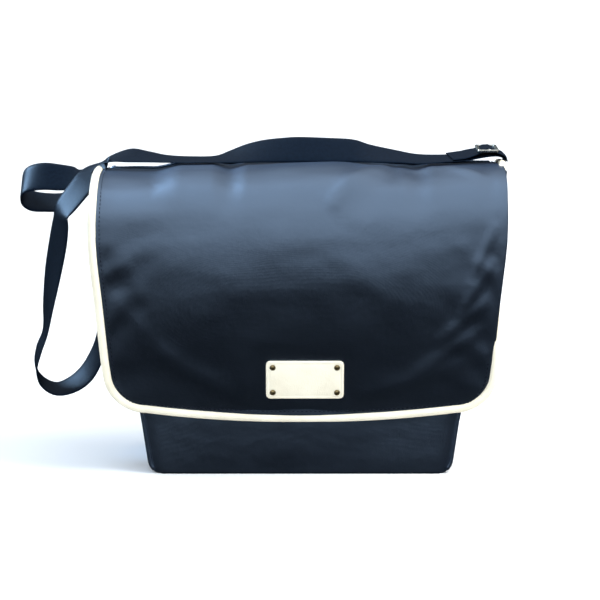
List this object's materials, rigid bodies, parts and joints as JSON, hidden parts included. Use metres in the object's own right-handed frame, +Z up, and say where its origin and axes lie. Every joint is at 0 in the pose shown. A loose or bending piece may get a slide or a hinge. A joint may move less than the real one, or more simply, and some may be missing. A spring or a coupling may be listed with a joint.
{
  "type": "diaper bag",
  "caption": "Flap-over baby bag with a wide padded shoulder strap, an open-topped flared body, a lift-up flap and inner pockets.",
  "frame": {"origin": "centre of the base's underside, on the surface the bag stands on", "axes": "+X to the right as the front is seen, -Y out of the front, +Z up"},
  "size_m": [0.5043, 0.1403, 0.3322],
  "materials": {
    "nylon_navy": "satin",
    "lining_cloth": "matte",
    "webbing_navy": "satin",
    "cream_leather": "satin",
    "antique_brass": "satin",
    "pale_nickel": "polished",
    "zip_coil": "matte",
    "stiffener": "matte"
  },
  "bodies": {
    "bag": {"base_panel": "nylon_navy", "base_board": "stiffener", "front_panel": "nylon_navy", "back_panel": "nylon_navy", "lining": "lining_cloth", "rim_binding": "webbing_navy", "hinge_seam": "webbing_navy", "back_pocket": "nylon_navy", "back_pocket_binding": "webbing_navy", "zip_pocket": "lining_cloth", "zip_tape": "webbing_navy", "zip_teeth": "zip_coil", "zip_stops": "pale_nickel", "snap_sockets": "pale_nickel", "gusset_left": "nylon_navy", "gusset_right": "nylon_navy", "slip_pocket_left": "lining_cloth", "slip_pocket_right": "lining_cloth", "slip_elastic_left": "webbing_navy", "slip_elastic_right": "webbing_navy", "ring_tab_left": "webbing_navy", "ring_tab_right": "webbing_navy", "strap_drop": "webbing_navy", "strap_loop": "webbing_navy"},
    "flap_top": {"flap_top_panel": "nylon_navy", "flap_top_lining": "lining_cloth", "flap_piping_top_left": "cream_leather", "flap_piping_top_right": "cream_leather"},
    "flap_front": {"flap_front_panel": "nylon_navy", "flap_front_lining": "lining_cloth", "flap_piping_front": "cream_leather", "name_plate": "cream_leather", "plate_rivets": "antique_brass", "snap_studs": "pale_nickel"},
    "strap_over": {"strap_top": "webbing_navy", "strap_lower_run": "webbing_navy", "strap_upper_run": "webbing_navy"},
    "strap_slider": {"slider_frame": "pale_nickel", "slider_bar": "pale_nickel"},
    "ring_left": {"side_ring_left": "pale_nickel", "ring_fold_left": "webbing_navy"},
    "ring_right": {"side_ring_right": "pale_nickel", "ring_fold_right": "webbing_navy"},
    "zip_slider": {"zip_slider": "pale_nickel"},
    "zip_pull": {"zip_pull": "pale_nickel"}
  },
  "joints": [
    {"name": "flap_lift", "type": "hinge", "parent": "bag", "child": "flap_top", "pos_m": [0, 0.059, 0.3], "axis": [-1, 0, 0], "range_deg": [0, 175]},
    {"name": "flap_fold", "type": "hinge", "parent": "flap_top", "child": "flap_front", "pos_m": [0, -0.04784, 0.28684], "axis": [-1, 0, 0], "range_deg": [0, 140]},
    {"name": "strap_carry", "type": "hinge", "parent": "bag", "child": "strap_over", "pos_m": [0, 0.059, 0.3], "axis": [-1, 0, 0], "range_deg": [0, 175]},
    {"name": "strap_adjust", "type": "slide", "parent": "strap_over", "child": "strap_slider", "axis": [1, 0, 0], "range_m": [-0.05, 0]},
    {"name": "ring_swing_left", "type": "hinge", "parent": "bag", "child": "ring_left", "pos_m": [-0.199, 0.035, 0.277], "axis": [0, 1, 0], "range_deg": [-20, 5]},
    {"name": "ring_swing_right", "type": "hinge", "parent": "bag", "child": "ring_right", "pos_m": [0.199, 0.035, 0.277], "axis": [0, 1, 0], "range_deg": [-5, 20]},
    {"name": "zip_run", "type": "slide", "parent": "bag", "child": "zip_slider", "axis": [1, 0, 0], "range_m": [0, 0.144]},
    {"name": "zip_pull_swing", "type": "hinge", "parent": "zip_slider", "child": "zip_pull", "pos_m": [-0.073, 0.0475, 0.215], "axis": [1, 0, 0], "range_deg": [-80, 0]}
  ],
  "couplings": [
    {"joint": "flap_fold", "follows": "flap_lift", "ratio": 0.8},
    {"joint": "strap_carry", "follows": "flap_lift", "ratio": 1}
  ]
}
